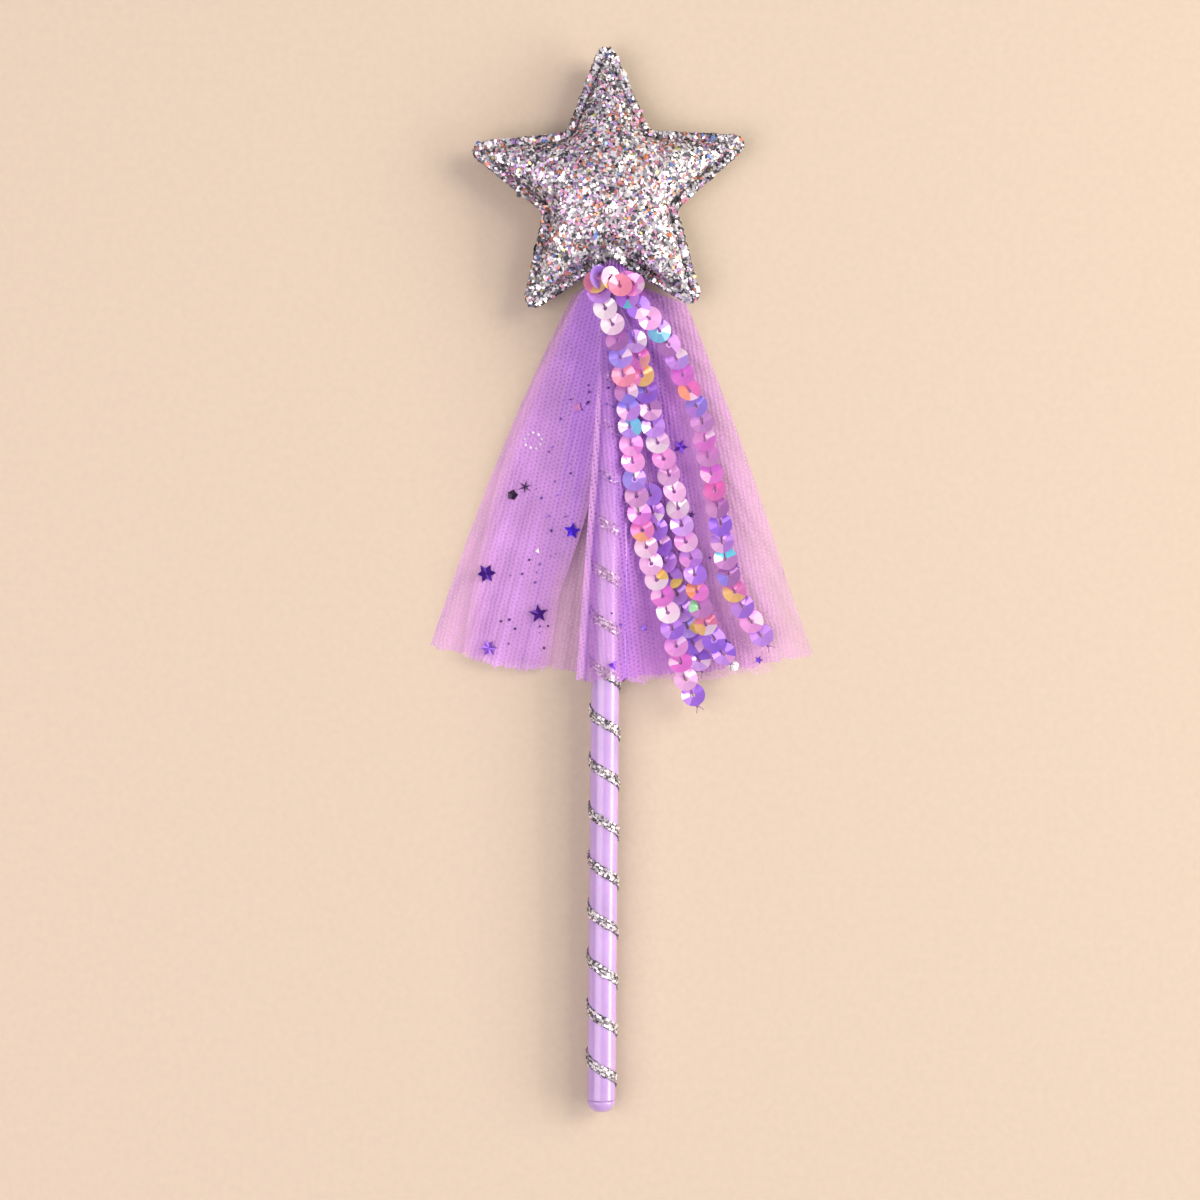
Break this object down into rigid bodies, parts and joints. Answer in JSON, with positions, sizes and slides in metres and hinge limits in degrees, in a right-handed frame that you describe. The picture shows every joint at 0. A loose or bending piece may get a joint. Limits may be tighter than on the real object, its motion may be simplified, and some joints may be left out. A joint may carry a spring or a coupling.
{
  "type": "toy magic wand",
  "caption": "Toy magic wand: padded glitter star on a ribbon-wound plastic stick, with a gathered tulle skirt and hanging strands of sequins that lift at the neck.",
  "frame": {"origin": "middle of the star's flat back, where it lies on the floor", "axes": "+Y up the wand from the stick to the star's top tip, +Z away from the floor towards the star's padded front, +X to the right as the star's front is seen"},
  "size_m": [0.109, 0.3016, 0.017],
  "materials": {
    "stick_plastic": "glossy lilac extruded plastic",
    "silver_ribbon": "silver metallic glitter braid",
    "hot_glue": "clear set hot-melt glue",
    "star_glitter": "chunky silver holographic glitter on soft grey film",
    "wadding": "loose white polyester wadding",
    "tulle": "sheer lilac hexagonal net",
    "elastic": "thin lilac elastic band",
    "confetti_foil": "dark violet metallic foil",
    "thread": "fine white sewing thread",
    "sequin_foil": "iridescent pink lilac pearl film"
  },
  "bodies": {
    "wand": {"stick_tube": "stick_plastic", "end_plug": "stick_plastic", "glitter_ribbon": "silver_ribbon", "glue_bead": "hot_glue", "star_front_panel": "star_glitter", "star_back_panel": "star_glitter", "star_padding": "wadding", "tulle_gather": "tulle", "neck_band": "elastic", "tulle_back_left": "tulle", "tulle_back_right": "tulle"},
    "front_skirt_right": {"tulle_front_right": "tulle", "confetti_right": "confetti_foil"},
    "front_skirt_left": {"tulle_front_left": "tulle", "confetti_left": "confetti_foil"},
    "left_strand": {"left_thread": "thread", "left_sequins": "sequin_foil", "left_knot": "thread"},
    "under_strand": {"under_thread": "thread", "under_sequins": "sequin_foil", "under_knot": "thread"},
    "middle_strand": {"middle_thread": "thread", "middle_sequins": "sequin_foil", "middle_knot": "thread"},
    "right_strand": {"right_thread": "thread", "right_sequins": "sequin_foil", "right_knot": "thread"}
  },
  "joints": [
    {"name": "skirt_right_lift", "type": "hinge", "parent": "wand", "child": "front_skirt_right", "pos_m": [0, -0.0228, 0.0138], "axis": [-1, 0, 0], "range_deg": [0, 35]},
    {"name": "skirt_left_lift", "type": "hinge", "parent": "wand", "child": "front_skirt_left", "pos_m": [0, -0.0228, 0.0138], "axis": [-1, 0, 0], "range_deg": [0, 31.5]},
    {"name": "left_strand_lift", "type": "hinge", "parent": "front_skirt_right", "child": "left_strand", "pos_m": [0, -0.0228, 0.0138], "axis": [-1, 0, 0], "range_deg": [0, 50]},
    {"name": "middle_strand_lift", "type": "hinge", "parent": "front_skirt_right", "child": "middle_strand", "pos_m": [0, -0.0228, 0.0138], "axis": [-1, 0, 0], "range_deg": [0, 46.5]},
    {"name": "under_strand_lift", "type": "hinge", "parent": "front_skirt_right", "child": "under_strand", "pos_m": [0, -0.0228, 0.0138], "axis": [-1, 0, 0], "range_deg": [0, 43]},
    {"name": "right_strand_lift", "type": "hinge", "parent": "front_skirt_right", "child": "right_strand", "pos_m": [0, -0.0228, 0.0138], "axis": [-1, 0, 0], "range_deg": [0, 50]}
  ],
  "couplings": [
    {"joint": "skirt_left_lift", "follows": "skirt_right_lift", "ratio": 0.9},
    {"joint": "middle_strand_lift", "follows": "left_strand_lift", "ratio": 0.93},
    {"joint": "under_strand_lift", "follows": "left_strand_lift", "ratio": 0.86}
  ]
}
